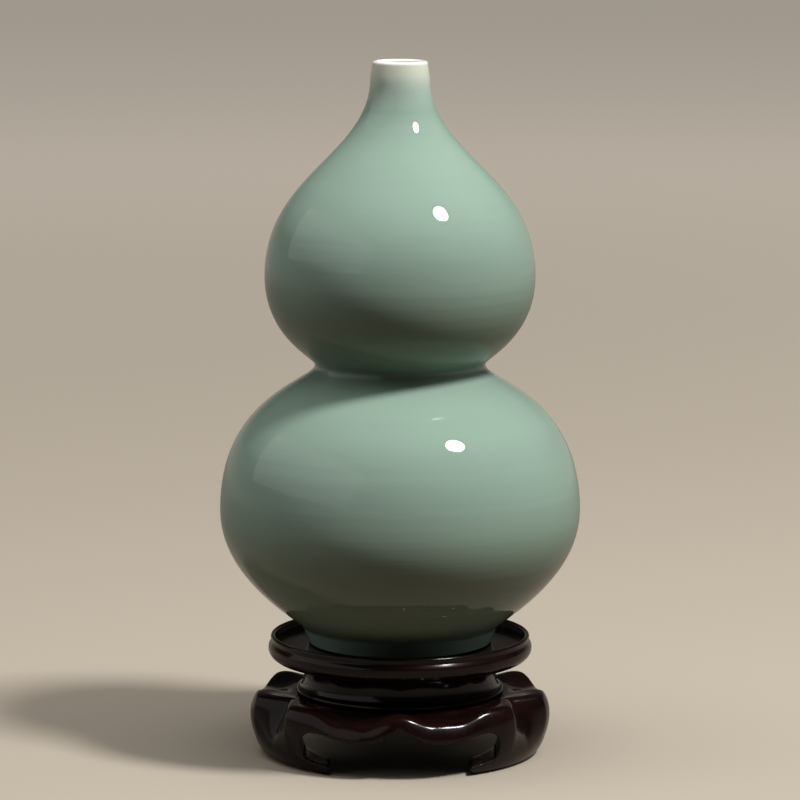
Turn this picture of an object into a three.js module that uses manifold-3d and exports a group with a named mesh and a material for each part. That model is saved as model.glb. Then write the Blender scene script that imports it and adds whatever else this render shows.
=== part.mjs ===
// Celadon double-gourd vase standing loose in the tray of a carved, waisted, three-legged hardwood stand.
// Millimetres, +Z up. The origin lies on the ground under the vase's axis and the front faces -Y.
import * as THREE from "three";
import { mergeVertices } from "three/addons/utils/BufferGeometryUtils.js";
import Module from "manifold-3d";

// Vase, heights from the bottom of its foot
const vaseHeight = 247.5;
const mouthRadius = 11.8;
const neckRadius = 12.6;
const neckHeight = 239.9;
const neckSweep = 31.8;
const upperBulbRadius = 57.2;
const upperBulbHeight = 157;
const upperBulbFullnessAbove = 42.8;
const upperBulbFullnessBelow = 26.5;
const waistRadius = 36.1;
const waistHeight = 119.2;
const waistPinchAbove = 3.6;
const waistPinchBelow = 7.8;
const lowerBulbRadius = 76.5;
const lowerBulbHeight = 57.1;
const lowerBulbFullnessAbove = 49.1;
const lowerBulbFullnessBelow = 30.1;
const footTopRadius = 41.3;
const footHeight = 6.2;
const footFlareUp = 3.5;
const footBottomRadius = 38.8;
const footRingWidth = 5;
const footRecess = 3.5;
const vaseFloor = 6;
const bulbWall = 4.2;
const neckWall = 2.6;

// Tray: a rolled ring with a lip along its top, round a panel that carries the vase
const trayRadius = 56.2;
const trayHeight = 10.7;
const rollHeight = 4.6;
const rollUndercut = 5;
const lipWidth = 2;
const lipHeight = 2.5;
const lipSetback = 1;
const lipGroove = 0.4;
const ledgeThickness = 2.6;
const ledgeRadius = 36;
const panelThickness = 4.2;
const panelClearance = 0.3;

// Waist: a turned block with a cove, a bead at its foot and a spigot on top
const waistBlockHeight = 13.7;
const waistTopRadius = 44.4;
const coveRadius = 41;
const coveHeight = 7.6;
const beadRadius = 1.1;
const beadReach = 44.3;
const spigotClearance = 0.3;

// Base: a bulging drum, turned first and then carved into legs and aprons
const deckHeight = 25.2;
const deckThickness = 4;
const deckEdgeRise = 1.4;
const deckCrestIn = 6;
const deckCrestUp = 2.2;
const deckSweep = 6;
const deckInnerRadius = 28;
const drumInnerRadius = 47;
const drumFootRadius = 58;
const drumEdgeRadius = 61.2;
const drumFlareOut = 5.5;
const drumFlareUp = 4.5;
const drumShoulderOut = 5.6;
const drumShoulderDown = 7;
const lobeDroop = 4;
const lobeStartAngle = 14;
const lobeEndAngle = 23;
const lobeFadeAngle = 38;
const legShoulderOut = 1.4;
const legShoulderAngle = 15;
const legShoulderFadeAngle = 26;
const legGrooveDepth = 9;
const legGrooveAngle = 12;
const legGrooveFoot = 5;
const legGrooveTop = 23;

// Opening between two legs, seen from the front, half of its outline
const noseHeight = 22.4;
const noseFallOut = 4;
const noseFallDown = 3;
const lobeReach = 17.8;
const lobeHeight = 15.2;
const lobeRoundness = 8.5;
const archReach = 37.2;
const archHeight = 18;
const archRoundness = 7.5;
const openingReach = 41.2;
const openingReachHeight = 12.2;
const archShoulder = 3.2;
const heelRoundness = 6;
const toeReach = 30.2;
const toeHeight = 4.3;
const toeLength = 9;
const toeRise = 1.3;
const toeCurl = 1.2;

// Joinery of the stand
const legCount = 3;
const seamAngle = 37.5;
const seamGap = 0.3;
const seatGap = 0.3;
const tongueLength = 8;
const tongueWidth = 8;
const tongueThickness = 2.6;
const tongueRadius = 54;
const tenonWidth = 9;
const tenonDepth = 4.5;
const tenonHeight = 7;
const tenonRadius = 35.5;
const joineryClearance = 0.3;

// How finely the curves are cut into facets
const vaseFacets = 36;
const turningFacets = 40;
const drumFacets = 72;
const curveSteps = 7;
const innerCurveSteps = 4;
const lipSteps = 4;
const weldDistance = 1e-4;

const wasm = await Module();
wasm.setup();

const celadon = new THREE.Color(0x8fa894);
const hardwood = new THREE.Color(0x24120d);
const radians = THREE.MathUtils.degToRad;
const smooth = THREE.MathUtils.smoothstep;

function glaze() {
  return new THREE.MeshStandardMaterial({ color: celadon, roughness: 0.12, metalness: 0 });
}

function lacquer() {
  return new THREE.MeshStandardMaterial({ color: hardwood, roughness: 0.28, metalness: 0 });
}

function point(x, y) {
  return new THREE.Vector2(x, y);
}

// Points of a cubic curve without its first one, so that curves can be chained
function curve(start, startHandle, endHandle, end, steps) {
  return new THREE.CubicBezierCurve(start, startHandle, endHandle, end).getPoints(steps).slice(1);
}

// Points of an arc about a centre, angles in degrees
function arc(centre, radius, from, to, steps) {
  return Array.from({ length: steps + 1 }, (_, i) => {
    const angle = radians(from + ((to - from) * i) / steps);
    return point(centre.x + radius * Math.cos(angle), centre.y + radius * Math.sin(angle));
  });
}

function turned(profile, facets) {
  return new THREE.LatheGeometry(profile, facets).rotateX(Math.PI / 2);
}

// A three.js geometry as a solid that can be joined and cut
function solid(geometry) {
  const bare = geometry.clone();
  bare.deleteAttribute("normal");
  bare.deleteAttribute("uv");
  const merged = mergeVertices(bare, weldDistance);
  const corners = merged.index.array;
  const kept = [];
  for (let i = 0; i < corners.length; i += 3) {
    const [a, b, c] = corners.slice(i, i + 3);
    if (a !== b && b !== c && c !== a) kept.push(a, b, c);
  }
  const mesh = new wasm.Mesh({
    numProp: 3,
    vertProperties: merged.attributes.position.array,
    triVerts: new Uint32Array(kept),
  });
  return new wasm.Manifold(mesh);
}

function geometryOf(body) {
  const mesh = body.getMesh();
  const geometry = new THREE.BufferGeometry();
  geometry.setAttribute("position", new THREE.BufferAttribute(mesh.vertProperties, 3));
  geometry.setIndex(new THREE.BufferAttribute(mesh.triVerts, 1));
  geometry.computeVertexNormals();
  return geometry;
}

// Levels of the stand, from the ground up
const waistBottom = deckHeight + seatGap;
const waistTop = waistBottom + waistBlockHeight;
const trayBottom = waistTop + seatGap;
const trayTop = trayBottom + trayHeight;
const ledgeTop = trayBottom + ledgeThickness;
const panelBottom = ledgeTop + seatGap;
const panelTop = panelBottom + panelThickness;
const vaseBottom = panelTop + seatGap;
const recessRadius = trayRadius - lipSetback - lipWidth;

// Outer line of the vase from the top of its foot to the start of its lip
function vaseOuterLine(steps) {
  const foot = point(footTopRadius, footHeight);
  const lower = point(lowerBulbRadius, lowerBulbHeight);
  const waist = point(waistRadius, waistHeight);
  const upper = point(upperBulbRadius, upperBulbHeight);
  const neck = point(neckRadius, neckHeight);
  const lip = point(mouthRadius, vaseHeight - neckWall / 2);
  return [
    foot,
    ...curve(
      foot,
      point(foot.x, foot.y + footFlareUp),
      point(lower.x, lower.y - lowerBulbFullnessBelow),
      lower,
      steps,
    ),
    ...curve(
      lower,
      point(lower.x, lower.y + lowerBulbFullnessAbove),
      point(waist.x, waist.y - waistPinchBelow),
      waist,
      steps + 1,
    ),
    ...curve(
      waist,
      point(waist.x, waist.y + waistPinchAbove),
      point(upper.x, upper.y - upperBulbFullnessBelow),
      upper,
      steps,
    ),
    ...curve(
      upper,
      point(upper.x, upper.y + upperBulbFullnessAbove),
      point(neck.x, neck.y - neckSweep),
      neck,
      steps + 2,
    ),
    lip,
  ];
}

// The same line moved inwards by the wall, which thins from the shoulder to the neck
function vaseInnerLine(steps) {
  const outer = vaseOuterLine(steps);
  return outer.map((here, i) => {
    const before = outer[Math.max(i - 1, 0)];
    const after = outer[Math.min(i + 1, outer.length - 1)];
    const along = after.clone().sub(before).normalize();
    const thinning = smooth(here.y, upperBulbHeight, neckHeight);
    const wall = THREE.MathUtils.lerp(bulbWall, neckWall, thinning);
    return point(here.x - along.y * wall, here.y + along.x * wall);
  });
}

function vaseBody() {
  const floorTop = footRecess + vaseFloor;
  const lipRadius = neckWall / 2;
  const lipCentre = point(mouthRadius - lipRadius, vaseHeight - lipRadius);
  const inside = vaseInnerLine(innerCurveSteps)
    .slice(0, -1)
    .filter((p) => p.y > floorTop + bulbWall / 2)
    .reverse();
  const lowest = inside[inside.length - 1];
  const profile = [
    point(0, footRecess),
    point(footBottomRadius - footRingWidth, footRecess),
    point(footBottomRadius - footRingWidth, 0),
    point(footBottomRadius, 0),
    ...vaseOuterLine(curveSteps),
    ...arc(lipCentre, lipRadius, 0, 180, lipSteps).slice(1),
    ...inside,
    point(lowest.x - bulbWall, floorTop),
    point(0, floorTop),
  ];
  return turned(profile, vaseFacets);
}

// The roll swells from the ring's underside to its widest level and draws in to a groove under the lip
function trayRing() {
  const under = point(trayRadius - rollUndercut, trayBottom);
  const widest = point(trayRadius, trayBottom + rollHeight);
  const lipRadius = lipWidth / 2;
  const lipCentre = point(recessRadius + lipRadius, trayTop - lipRadius);
  const groove = point(trayRadius - lipSetback - lipGroove, trayTop - lipHeight);
  const profile = [
    point(ledgeRadius, trayBottom),
    under,
    ...curve(
      under,
      point((under.x + widest.x) / 2, under.y),
      point(widest.x, (under.y + widest.y) / 2),
      widest,
      curveSteps,
    ),
    ...curve(
      widest,
      point(widest.x, (widest.y + groove.y) / 2),
      point((widest.x + groove.x) / 2, groove.y),
      groove,
      lipSteps,
    ),
    ...arc(lipCentre, lipRadius, 0, 180, lipSteps),
    point(recessRadius, ledgeTop),
    point(ledgeRadius, ledgeTop),
    point(ledgeRadius, trayBottom),
  ];
  return turned(profile, turningFacets);
}

function trayPanel() {
  const radius = recessRadius - panelClearance;
  const profile = [
    point(0, panelBottom),
    point(radius, panelBottom),
    point(radius, panelTop),
    point(0, panelTop),
  ];
  return turned(profile, turningFacets);
}

function waistBlock() {
  const cove = point(coveRadius, waistBottom + coveHeight);
  const beadCentre = point(beadReach - beadRadius, waistBottom + beadRadius);
  const beadTop = point(beadCentre.x, waistBottom + 2 * beadRadius);
  const shoulder = point(waistTopRadius, waistTop);
  const spigotRadius = ledgeRadius - spigotClearance;
  const profile = [
    point(0, waistBottom),
    ...arc(beadCentre, beadRadius, -90, 90, lipSteps),
    ...curve(
      beadTop,
      point((beadTop.x + cove.x) / 2, beadTop.y),
      point(cove.x, (beadTop.y + cove.y) / 2),
      cove,
      lipSteps,
    ),
    ...curve(
      cove,
      point(cove.x, (cove.y + shoulder.y) / 2),
      point((cove.x + shoulder.x) / 2, shoulder.y),
      shoulder,
      curveSteps,
    ),
    point(spigotRadius, waistTop),
    point(spigotRadius, ledgeTop),
    point(0, ledgeTop),
  ];
  const mortise = solid(legTenon(joineryClearance));
  let block = solid(turned(profile, turningFacets));
  for (const angle of legAngles) block = block.subtract(mortise.rotate([0, 0, angle]));
  return geometryOf(block);
}

// Bearings from the front, anticlockwise seen from above, of the legs and of the openings between them
const openingAngles = Array.from({ length: legCount }, (_, i) => (360 / legCount) * i);
const legAngles = openingAngles.map((angle) => angle + 180 / legCount);

// Section of the turned drum: its bulging face, its deck that swells near the edge and the hollow under it
function drumSection() {
  const foot = point(drumFootRadius, 0);
  const edge = point(drumEdgeRadius, deckHeight + deckEdgeRise);
  const waist = point(waistTopRadius, deckHeight);
  const deckUnderside = deckHeight - deckThickness;
  return [
    point(drumInnerRadius, 0),
    foot,
    ...curve(
      foot,
      point(foot.x + drumFlareOut, foot.y + drumFlareUp),
      point(edge.x + drumShoulderOut, edge.y - drumShoulderDown),
      edge,
      curveSteps,
    ),
    ...curve(
      edge,
      point(edge.x - deckCrestIn, edge.y + deckCrestUp),
      point(waist.x + deckSweep, waist.y),
      waist,
      lipSteps,
    ),
    point(deckInnerRadius, deckHeight),
    point(deckInnerRadius, deckUnderside),
    point(drumInnerRadius, deckUnderside),
    point(drumInnerRadius, 0),
  ];
}

// Carving of the drum: lobes droop beside each opening's nose, and each leg has a shoulder with a groove
function carve(radius, height, bearing) {
  const period = 360 / legCount;
  const fromOpening = Math.abs(((bearing + period / 2) % period) - period / 2);
  const fromLeg = period / 2 - fromOpening;
  const outward = smooth(radius, waistTopRadius, drumFootRadius);
  const raised = Math.min(height / deckHeight, 1);
  const lobeFade = 1 - smooth(fromOpening, lobeEndAngle, lobeFadeAngle);
  const lobe = smooth(fromOpening, 0, lobeStartAngle) * lobeFade;
  const shoulder = 1 - smooth(fromLeg, legShoulderAngle, legShoulderFadeAngle);
  const groove = Math.max(1 - fromLeg / legGrooveAngle, 0);
  const upperPart = smooth(height, legGrooveFoot, legGrooveTop) * outward;
  return {
    radius: radius + upperPart * (legShoulderOut * shoulder - legGrooveDepth * groove),
    height: height - lobeDroop * lobe * outward * raised,
  };
}

function carvedDrum() {
  const section = drumSection();
  const geometry = new THREE.LatheGeometry(section, drumFacets);
  const places = geometry.getAttribute("position");
  const hollowFrom = section.findIndex((p) => p.x === deckInnerRadius);
  for (let i = 0; i < places.count; i += 1) {
    const row = i % section.length;
    if (row === 0 || row >= hollowFrom) continue;
    const turn = Math.floor(i / section.length) / drumFacets;
    const { radius, height } = carve(section[row].x, section[row].y, 360 * turn);
    const angle = 2 * Math.PI * turn;
    places.setXYZ(i, radius * Math.sin(angle), height, radius * Math.cos(angle));
  }
  return solid(geometry.rotateX(Math.PI / 2));
}

// Right half of an opening's outline, from the nose over the lobe and the arch to the toe on the ground
function openingHalf() {
  const nose = point(0, noseHeight);
  const lobe = point(lobeReach, lobeHeight);
  const arch = point(archReach, archHeight);
  const widest = point(openingReach, openingReachHeight);
  const toe = point(toeReach, toeHeight);
  return [
    nose,
    ...curve(
      nose,
      point(nose.x + noseFallOut, nose.y - noseFallDown),
      point(lobe.x - lobeRoundness, lobe.y),
      lobe,
      curveSteps,
    ),
    ...curve(
      lobe,
      point(lobe.x + lobeRoundness, lobe.y),
      point(arch.x - archRoundness, arch.y),
      arch,
      curveSteps,
    ),
    ...curve(
      arch,
      point(arch.x + archShoulder, arch.y),
      point(widest.x, widest.y + archShoulder),
      widest,
      lipSteps,
    ),
    ...curve(
      widest,
      point(widest.x, widest.y - heelRoundness),
      point(toe.x + toeLength, toe.y + toeRise),
      toe,
      curveSteps,
    ),
    point(toe.x - toeCurl, toe.y / 2),
    point(toe.x, 0),
    point(toe.x, -toe.y),
  ];
}

function openingCutter() {
  const half = openingHalf();
  const mirrored = half.slice(1).reverse().map((p) => point(-p.x, p.y));
  const outline = new THREE.Shape([...half, ...mirrored]);
  const near = drumInnerRadius / 2;
  const far = drumFootRadius + drumFlareOut + drumShoulderOut + legShoulderOut;
  const geometry = new THREE.ExtrudeGeometry(outline, { depth: far - near, bevelEnabled: false });
  return solid(geometry.rotateX(Math.PI / 2).translate(0, -near, 0));
}

// A wedge about the front bearing, above a level, with its sides drawn in by a gap
function wedge(halfAngle, level, gap) {
  const reach = 2 * (drumFootRadius + drumFlareOut + drumShoulderOut);
  const spread = reach * Math.tan(radians(halfAngle));
  const apex = -gap / Math.sin(radians(halfAngle));
  const outline = new THREE.Shape([
    point(0, apex),
    point(-spread, apex - reach),
    point(spread, apex - reach),
  ]);
  const depth = 2 * deckHeight - level;
  return solid(new THREE.ExtrudeGeometry(outline, { depth, bevelEnabled: false }).translate(0, 0, level));
}

// A tongue across the seam between an apron and a leg, on a bearing from the front
function seamTongue(bearing, clearance) {
  const level = (archHeight + deckHeight) / 2 - tongueThickness / 2;
  const box = new THREE.BoxGeometry(
    tongueLength + 2 * clearance,
    tongueWidth + 2 * clearance,
    tongueThickness + 2 * clearance,
  );
  return solid(box.translate(0, -tongueRadius, level).rotateZ(radians(bearing)));
}

// The tenon on top of a leg, on the front bearing, rooted in the deck
function legTenon(clearance) {
  const root = deckThickness / 2;
  const height = tenonHeight + root + clearance;
  const box = new THREE.BoxGeometry(tenonWidth + 2 * clearance, tenonDepth + 2 * clearance, height);
  return box.translate(0, -tenonRadius, deckHeight - root + height / 2);
}

function apron(base) {
  let body = base.intersect(wedge(seamAngle, openingReachHeight, seamGap));
  for (const side of [-1, 1]) body = body.add(seamTongue(side * seamAngle, 0));
  return geometryOf(body);
}

function leg(base) {
  const legHalfAngle = 180 / legCount - seamAngle;
  const turnedBase = base.rotate([0, 0, -180 / legCount]);
  let body = turnedBase.intersect(wedge(180 / legCount, -deckHeight, seamGap));
  for (const side of [-1, 1]) {
    const cutter = wedge(seamAngle, openingReachHeight, 0).rotate([0, 0, (side * 180) / legCount]);
    body = body.subtract(cutter);
    body = body.subtract(seamTongue(side * legHalfAngle, joineryClearance));
  }
  return geometryOf(body.add(solid(legTenon(0))));
}

function carvedBase() {
  const cutter = openingCutter();
  let base = carvedDrum();
  for (const angle of openingAngles) base = base.subtract(cutter.rotate([0, 0, angle]));
  return base;
}

function place(name, geometry, material, bearing = 0, level = 0) {
  const mesh = new THREE.Mesh(geometry, material);
  mesh.name = name;
  mesh.rotation.z = radians(bearing);
  mesh.position.z = level;
  return mesh;
}

const base = carvedBase();
const apronGeometry = apron(base);
const legGeometry = leg(base);

const assembly = new THREE.Group();
assembly.add(place("vase_body", vaseBody(), glaze(), 0, vaseBottom));
assembly.add(place("tray_ring", trayRing(), lacquer()));
assembly.add(place("tray_panel", trayPanel(), lacquer()));
assembly.add(place("waist_block", waistBlock(), lacquer()));
["apron_front", "apron_right", "apron_left"].forEach((name, i) => {
  assembly.add(place(name, apronGeometry, lacquer(), openingAngles[i]));
});
["leg_front_right", "leg_rear", "leg_front_left"].forEach((name, i) => {
  assembly.add(place(name, legGeometry, lacquer(), legAngles[i]));
});

export default assembly;
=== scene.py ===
"""Celadon double-gourd vase on a carved hardwood stand: the dressed model, laid out as an add-on."""

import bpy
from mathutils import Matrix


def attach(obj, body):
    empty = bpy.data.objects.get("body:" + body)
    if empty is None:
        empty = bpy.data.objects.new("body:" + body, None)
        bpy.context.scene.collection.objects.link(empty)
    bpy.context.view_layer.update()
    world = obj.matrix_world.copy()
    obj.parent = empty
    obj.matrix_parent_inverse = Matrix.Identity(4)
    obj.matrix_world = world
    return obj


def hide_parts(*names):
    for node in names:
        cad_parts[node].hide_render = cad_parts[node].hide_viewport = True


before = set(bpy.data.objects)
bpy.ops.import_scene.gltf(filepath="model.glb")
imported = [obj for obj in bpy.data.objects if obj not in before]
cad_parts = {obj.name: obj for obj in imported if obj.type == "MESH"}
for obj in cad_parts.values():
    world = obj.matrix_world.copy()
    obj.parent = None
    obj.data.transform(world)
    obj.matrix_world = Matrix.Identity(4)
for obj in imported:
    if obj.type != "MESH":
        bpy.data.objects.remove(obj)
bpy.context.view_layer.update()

import math

import bmesh
import bpy
import numpy as np
from bpy.props import FloatProperty, FloatVectorProperty, IntProperty, PointerProperty
from bpy.types import Operator, Panel, PropertyGroup
from mathutils import Matrix, Vector

bl_info = {
    "name": "Gourd Vase on Stand",
    "version": (1, 0, 0),
    "blender": (4, 5, 0),
    "location": "View3D > Sidebar > Gourd Vase",
    "description": "Builds a celadon double-gourd vase on a carved hardwood stand",
    "category": "Add Mesh",
}

MM = 0.001
FULL_TURN = 2 * math.pi


# Properties


def length(description, millimetres):
    """A size property, given here in millimetres."""
    kind = {"subtype": "DISTANCE", "unit": "LENGTH"}
    return FloatProperty(description=description, default=millimetres * MM, min=0.0, precision=5, **kind)


def bearing(description, degrees):
    """An angle property, given here in degrees."""
    return FloatProperty(description=description, default=math.radians(degrees), subtype="ANGLE", unit="ROTATION")


def colour(description, value):
    """A colour property in linear light."""
    return FloatVectorProperty(description=description, default=value, size=3, min=0.0, max=1.0, subtype="COLOR")


def amount(description, value):
    """A plain number property."""
    return FloatProperty(description=description, default=value, min=0.0, precision=4)


def labelled(group):
    """Names each property of a group after its identifier."""
    for identifier, deferred in group.__annotations__.items():
        deferred.keywords["name"] = identifier.replace("_", " ").capitalize()
    return group


@labelled
class VaseSizes(PropertyGroup):
    """Sizes of the vase, heights from the bottom of its foot."""

    height: length("Foot to lip", 247.5)
    mouth_radius: length("Outer radius at the lip", 11.8)
    neck_radius: length("Outer radius where the neck is straight", 12.6)
    neck_height: length("Where the neck becomes straight", 239.9)
    neck_sweep: length("How far the neck's curve reaches down", 31.8)
    upper_radius: length("Widest radius of the upper bulb", 57.2)
    upper_height: length("Height of its widest ring", 157)
    upper_full_above: length("Roundness above the widest ring", 42.8)
    upper_full_below: length("Roundness below the widest ring", 26.5)
    waist_radius: length("Radius between the bulbs", 36.1)
    waist_height: length("Height of the waist", 119.2)
    waist_pinch_above: length("Softness of the waist above", 3.6)
    waist_pinch_below: length("Softness of the waist below", 7.8)
    lower_radius: length("Widest radius of the lower bulb", 76.5)
    lower_height: length("Height of its widest ring", 57.1)
    lower_full_above: length("Roundness above the widest ring", 49.1)
    lower_full_below: length("Roundness below the widest ring", 30.1)
    foot_top_radius: length("Radius where the foot meets the bulb", 41.3)
    foot_height: length("Height of the foot", 6.2)
    foot_flare_up: length("Rise of the curve above the foot", 3.5)
    foot_bottom_radius: length("Outer radius of the foot ring", 38.8)
    foot_ring_width: length("Width of the bare ring it stands on", 5)
    foot_recess: length("Depth of the hollow under the foot", 3.5)
    floor: length("Thickness of the vase's floor", 6)
    bulb_wall: length("Wall of the bulbs", 4.2)
    neck_wall: length("Wall of the neck", 2.6)
    ripple: length("Height of the turning marks", 0.05)
    ripple_pitch: length("Spacing of the turning marks", 5)
    facets: IntProperty(description="Steps round the axis", default=192, min=24)


@labelled
class StandSizes(PropertyGroup):
    """Sizes of the stand, heights from the ground."""

    seat_gap: length("Gap between resting pieces", 0.3)
    tray_radius: length("Outer radius of the tray", 56.2)
    tray_height: length("Height of the tray ring", 10.7)
    roll_height: length("Height of the ring's widest level above its underside", 4.6)
    roll_undercut: length("How far the roll draws in underneath", 5)
    lip_width: length("Width of the lip along the ring's top", 2)
    lip_height: length("Height of the lip above its groove", 2.5)
    lip_setback: length("How far the lip stands inside the roll", 1)
    lip_groove: length("Depth of the groove under the lip", 0.4)
    ledge_thickness: length("Thickness under the panel", 2.6)
    ledge_radius: length("Inner radius of the ledge", 36)
    panel_thickness: length("Thickness of the panel under the vase", 4.2)
    panel_clearance: length("Gap round the panel", 0.3)
    waist_block_height: length("Height of the waist block", 13.7)
    waist_top_radius: length("Radius under the tray", 44.4)
    cove_radius: length("Radius in the cove", 41)
    cove_height: length("Height of the cove's deepest ring", 7.6)
    bead_radius: length("Half the height of the bead", 1.1)
    bead_reach: length("Outer radius of the bead", 44.3)
    spigot_clearance: length("Gap round the spigot", 0.3)
    deck_height: length("Top of the base", 25.2)
    deck_thickness: length("Thickness of the deck", 4)
    deck_edge_rise: length("Deck's edge above its middle", 1.4)
    deck_crest_in: length("Reach of the swell inside the edge", 6)
    deck_crest_up: length("Rise of the swell inside the edge", 2.2)
    deck_sweep: length("Flatness of the deck round the waist", 6)
    deck_inner_radius: length("Hole under the waist block", 28)
    drum_inner_radius: length("Inside of the carved wall", 47)
    drum_foot_radius: length("Outer radius at the ground", 58)
    drum_edge_radius: length("Outer radius at the deck", 61.2)
    drum_flare_out: length("Reach of the face above the ground", 5.5)
    drum_flare_up: length("Rise of the face above the ground", 4.5)
    drum_shoulder_out: length("Swell of the face under the deck", 5.6)
    drum_shoulder_down: length("Drop of that swell", 7)
    lobe_droop: length("Drop of the deck over each lobe", 4)
    lobe_start: bearing("Bearing from the nose where a lobe is full", 14)
    lobe_end: bearing("Bearing where a lobe starts to fade", 23)
    lobe_fade: bearing("Bearing where a lobe is gone", 38)
    leg_shoulder_out: length("Swell of each leg", 1.4)
    leg_shoulder: bearing("Half width of the swell", 15)
    leg_shoulder_fade: bearing("Where the swell is gone", 26)
    leg_groove_depth: length("Depth of the crease down a leg", 9)
    leg_groove: bearing("Half width of the crease", 12)
    leg_groove_foot: length("Height where the crease begins", 5)
    leg_groove_top: length("Height where the crease is full", 23)
    nose_height: length("Top of the opening under the nose", 22.4)
    nose_fall_out: length("Reach of the nose's curve", 4)
    nose_fall_down: length("Drop of the nose's curve", 3)
    lobe_reach: length("Lowest point of a lobe from the middle", 17.8)
    lobe_height: length("Height of that point", 15.2)
    lobe_roundness: length("Roundness of a lobe", 8.5)
    arch_reach: length("Top of the arch beside a leg", 37.2)
    arch_height: length("Height of that top", 18)
    arch_roundness: length("Roundness of the arch", 7.5)
    opening_reach: length("Widest half of the opening", 41.2)
    opening_reach_height: length("Height of that width", 12.2)
    arch_shoulder: length("Roundness beside the leg", 3.2)
    heel_roundness: length("Roundness down to the toe", 6)
    toe_reach: length("Tip of a toe from the middle", 30.2)
    toe_height: length("Height of a toe", 4.3)
    toe_length: length("Length of the toe's top", 9)
    toe_rise: length("Rise of the toe's top", 1.3)
    toe_curl: length("Overhang of a toe's tip", 1.2)
    legs: IntProperty(description="Legs round the stand", default=3, min=3)
    seam: bearing("Bearing of the joint between apron and leg", 37.5)
    grain_size: length("Fineness of the carved surface", 0.5)
    softness: IntProperty(description="Passes that ease the carved edges", default=18)
    facets: IntProperty(description="Steps round turned pieces", default=160, min=24)


@labelled
class Finishes(PropertyGroup):
    """Colours of the glaze and of the lacquer."""

    glaze: colour("Body of the celadon glaze", (0.300, 0.420, 0.335))
    glaze_thick: colour("Where the glaze pools", (0.245, 0.320, 0.270))
    # Painted shade laid on the lower half of each bulb
    glaze_in_painted_shade: colour("Where the glaze has run down each bulb", (0.200, 0.250, 0.152))
    glaze_light: colour("Where the glaze runs lighter up the neck", (0.490, 0.600, 0.510))
    glaze_thin: colour("Where the glaze thins over the lip", (0.750, 0.770, 0.625))
    lip: colour("Porcelain showing at the lip", (0.950, 0.910, 0.870))
    bare_clay: colour("Unglazed foot ring", (0.420, 0.230, 0.130))
    lacquer_dark: colour("Body of the lacquered wood", (0.0042, 0.0020, 0.0017))
    lacquer_red: colour("Lighter grain under the lacquer", (0.018, 0.0046, 0.0032))
    worn_edge: colour("Wood showing on handled edges", (0.060, 0.021, 0.013))


@labelled
class StageSettings(PropertyGroup):
    """Camera, floor and lights."""

    view_tilt: bearing("Camera above level", 8.5)
    view_distance: amount("Camera to the aim, in metres", 1.822)
    view_width: bearing("Angle across the picture", 10.629)
    aim_height: length("Aim on the axis", 150.7)
    key_power: amount("Power of the key light in watts", 94.0)
    fill_power: amount("Power of the overhead light in watts", 34.0)
    left_power: amount("Power of the left panel in watts", 12.0)
    card_power: amount("Power of the long card that shows in the gloss, in watts", 14.0)
    right_power: amount("Power of the right panel in watts", 10.0)
    world_level: amount("Brightness of the surrounding room", 0.02)
    floor_colour: colour("Pale floor", (0.465, 0.405, 0.325))
    floor_bounce: colour("What the floor sends back on to the object", (0.125, 0.091, 0.063))
    floor_far: amount("Brightness of the floor far behind the object", 0.30)
    floor_mirror: amount("Share of the floor's paleness that shows in gloss", 0.45)


# Curves and profiles, as lists of (radius, height) in metres


def bezier(start, start_handle, end_handle, end, steps):
    """Points of a cubic curve without its first one, so that curves can be chained."""
    handles = (start, start_handle, end_handle, end)
    points = []
    for i in range(1, steps + 1):
        t = i / steps
        s = 1 - t
        weights = (s * s * s, 3 * s * s * t, 3 * s * t * t, t * t * t)
        points.append(tuple(sum(w * h[k] for w, h in zip(weights, handles)) for k in (0, 1)))
    return points


def extend(line, start_pull, end_pull, end, steps):
    """Carries a line on by a curve whose handles are given from its two ends."""
    start = line[-1]
    start_handle = (start[0] + start_pull[0], start[1] + start_pull[1])
    end_handle = (end[0] + end_pull[0], end[1] + end_pull[1])
    line += bezier(start, start_handle, end_handle, end, steps)


def quarter(start, end, steps, upright_first=False):
    """A rounded corner that runs level at one end and upright at the other."""
    middle = ((start[0] + end[0]) / 2, (start[1] + end[1]) / 2)
    if upright_first:
        return bezier(start, (start[0], middle[1]), (middle[0], end[1]), end, steps)
    return bezier(start, (middle[0], start[1]), (end[0], middle[1]), end, steps)


def arc(centre, radius, start, end, steps):
    """Points of an arc about a centre, angles in degrees."""
    angles = [math.radians(start + (end - start) * i / steps) for i in range(steps + 1)]
    return [(centre[0] + radius * math.cos(a), centre[1] + radius * math.sin(a)) for a in angles]


def eased(corners, steps=5):
    """Rounds the corners of a line given as (radius, height, rounding)."""
    side_share = 0.48
    points = []
    for i, (x, y, rounding) in enumerate(corners):
        if rounding == 0 or i in (0, len(corners) - 1):
            points.append((x, y))
            continue
        here = Vector((x, y))
        before = Vector(corners[i - 1][:2]) - here
        after = Vector(corners[i + 1][:2]) - here
        start = here + before.normalized() * min(rounding, before.length * side_share)
        end = here + after.normalized() * min(rounding, after.length * side_share)
        for k in range(steps + 1):
            t = k / steps
            spot = start * (1 - t) ** 2 + here * 2 * t * (1 - t) + end * t * t
            points.append((spot.x, spot.y))
    return points


def smoothstep(value, low, high):
    t = min(max((value - low) / (high - low), 0.0), 1.0)
    return t * t * (3 - 2 * t)


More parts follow.
